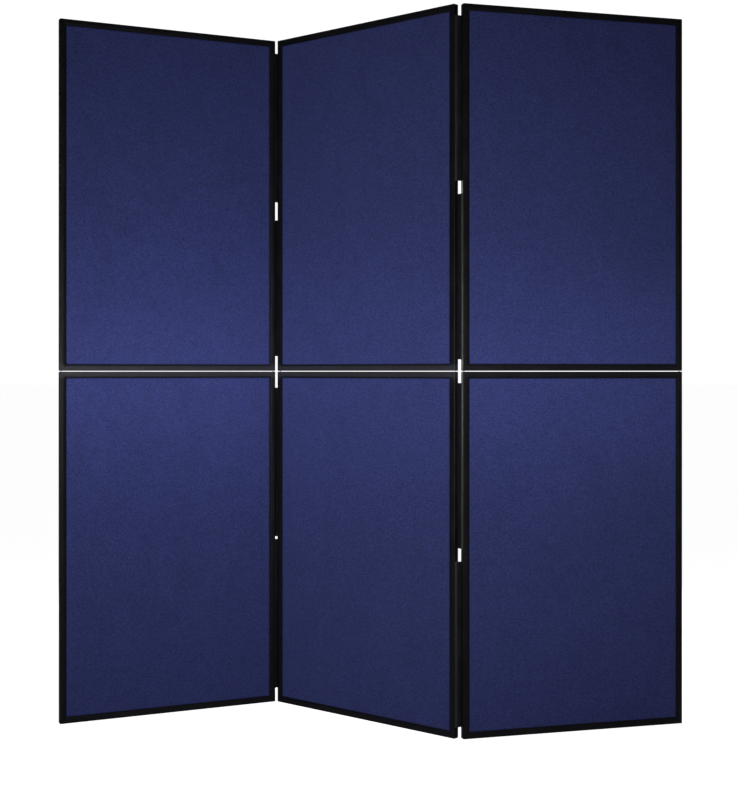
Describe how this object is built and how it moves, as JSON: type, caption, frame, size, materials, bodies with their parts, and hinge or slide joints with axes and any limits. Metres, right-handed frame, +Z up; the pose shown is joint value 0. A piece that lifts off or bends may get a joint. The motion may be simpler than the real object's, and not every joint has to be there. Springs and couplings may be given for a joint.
{
  "type": "partition wall",
  "caption": "Free-standing folding display wall in a zigzag: two rows of framed, fabric-covered panels joined by flexible hinge strips.",
  "frame": {"origin": "on the floor, under the middle of the box that holds the wall as it stands in its zigzag", "axes": "+X along the wall to the right as seen from the front, +Y from the front to the back, +Z up"},
  "size_m": [1.596, 0.4216, 1.802],
  "materials": {
    "frame": "satin black extruded plastic",
    "fabric": "dark blue brushed loop fabric",
    "board": "plain light fibre board",
    "corner_key": "moulded dark grey plastic",
    "row_peg": "bright drawn steel",
    "hinge_strip": "flexible black plastic, slight sheen"
  },
  "bodies": {
    "lower_middle": {"lower_middle_left_stile": "frame", "lower_middle_right_stile": "frame", "lower_middle_bottom_rail": "frame", "lower_middle_top_rail": "frame", "lower_middle_board": "board", "lower_middle_front_fabric": "fabric", "lower_middle_back_fabric": "fabric", "lower_middle_corner_keys": "corner_key", "middle_row_pegs": "row_peg"},
    "lower_left_strips": {"left_hinge_strip_1": "hinge_strip", "left_hinge_strip_2": "hinge_strip"},
    "lower_left": {"lower_left_left_stile": "frame", "lower_left_right_stile": "frame", "lower_left_bottom_rail": "frame", "lower_left_top_rail": "frame", "lower_left_board": "board", "lower_left_front_fabric": "fabric", "lower_left_back_fabric": "fabric", "lower_left_corner_keys": "corner_key", "left_row_pegs": "row_peg"},
    "lower_right_strips": {"right_hinge_strip_1": "hinge_strip", "right_hinge_strip_2": "hinge_strip"},
    "lower_right": {"lower_right_left_stile": "frame", "lower_right_right_stile": "frame", "lower_right_bottom_rail": "frame", "lower_right_top_rail": "frame", "lower_right_board": "board", "lower_right_front_fabric": "fabric", "lower_right_back_fabric": "fabric", "lower_right_corner_keys": "corner_key", "right_row_pegs": "row_peg"},
    "upper_middle": {"upper_middle_left_stile": "frame", "upper_middle_right_stile": "frame", "upper_middle_bottom_rail": "frame", "upper_middle_top_rail": "frame", "upper_middle_board": "board", "upper_middle_front_fabric": "fabric", "upper_middle_back_fabric": "fabric", "upper_middle_corner_keys": "corner_key"},
    "upper_left_strips": {"left_hinge_strip_3": "hinge_strip", "left_hinge_strip_4": "hinge_strip"},
    "upper_left": {"upper_left_left_stile": "frame", "upper_left_right_stile": "frame", "upper_left_bottom_rail": "frame", "upper_left_top_rail": "frame", "upper_left_board": "board", "upper_left_front_fabric": "fabric", "upper_left_back_fabric": "fabric", "upper_left_corner_keys": "corner_key"},
    "upper_right_strips": {"right_hinge_strip_3": "hinge_strip", "right_hinge_strip_4": "hinge_strip"},
    "upper_right": {"upper_right_left_stile": "frame", "upper_right_right_stile": "frame", "upper_right_bottom_rail": "frame", "upper_right_top_rail": "frame", "upper_right_board": "board", "upper_right_front_fabric": "fabric", "upper_right_back_fabric": "fabric", "upper_right_corner_keys": "corner_key"}
  },
  "joints": [
    {"name": "lower_left_fold_inner", "type": "hinge", "parent": "lower_middle", "child": "lower_left_strips", "pos_m": [-0.2376, 0.2011, 0.45], "axis": [0, 0, 1], "range_deg": [-78.75, 56.25], "deforming": ["left_hinge_strip_1", "left_hinge_strip_2"]},
    {"name": "lower_left_fold_outer", "type": "hinge", "parent": "lower_left_strips", "child": "lower_left", "pos_m": [-0.25442, 0.2036, 0.45], "axis": [0, 0, 1], "range_deg": [-78.75, 56.25]},
    {"name": "upper_left_fold_inner", "type": "hinge", "parent": "upper_middle", "child": "upper_left_strips", "pos_m": [-0.2376, 0.2011, 1.352], "axis": [0, 0, 1], "range_deg": [-78.75, 56.25], "deforming": ["left_hinge_strip_3", "left_hinge_strip_4"]},
    {"name": "upper_left_fold_outer", "type": "hinge", "parent": "upper_left_strips", "child": "upper_left", "pos_m": [-0.25442, 0.2036, 1.352], "axis": [0, 0, 1], "range_deg": [-78.75, 56.25]},
    {"name": "lower_right_fold_inner", "type": "hinge", "parent": "lower_middle", "child": "lower_right_strips", "pos_m": [0.20414, -0.19945, 0.45], "axis": [0, 0, 1], "range_deg": [-74, 61], "deforming": ["right_hinge_strip_1", "right_hinge_strip_2"]},
    {"name": "lower_right_fold_outer", "type": "hinge", "parent": "lower_right_strips", "child": "lower_right", "pos_m": [0.22069, -0.20333, 0.45], "axis": [0, 0, 1], "range_deg": [-74, 61]},
    {"name": "upper_right_fold_inner", "type": "hinge", "parent": "upper_middle", "child": "upper_right_strips", "pos_m": [0.20414, -0.19945, 1.352], "axis": [0, 0, 1], "range_deg": [-74, 61], "deforming": ["right_hinge_strip_3", "right_hinge_strip_4"]},
    {"name": "upper_right_fold_outer", "type": "hinge", "parent": "upper_right_strips", "child": "upper_right", "pos_m": [0.22069, -0.20333, 1.352], "axis": [0, 0, 1], "range_deg": [-74, 61]},
    {"name": "upper_row_lift", "type": "slide", "parent": "lower_middle", "child": "upper_middle", "axis": [0, 0, 1], "range_m": [0, 0.06]}
  ],
  "couplings": [
    {"joint": "lower_left_fold_outer", "follows": "lower_left_fold_inner", "ratio": 1},
    {"joint": "upper_left_fold_inner", "follows": "lower_left_fold_inner", "ratio": 1},
    {"joint": "upper_left_fold_outer", "follows": "lower_left_fold_inner", "ratio": 1},
    {"joint": "lower_right_fold_outer", "follows": "lower_right_fold_inner", "ratio": 1},
    {"joint": "upper_right_fold_inner", "follows": "lower_right_fold_inner", "ratio": 1},
    {"joint": "upper_right_fold_outer", "follows": "lower_right_fold_inner", "ratio": 1}
  ]
}
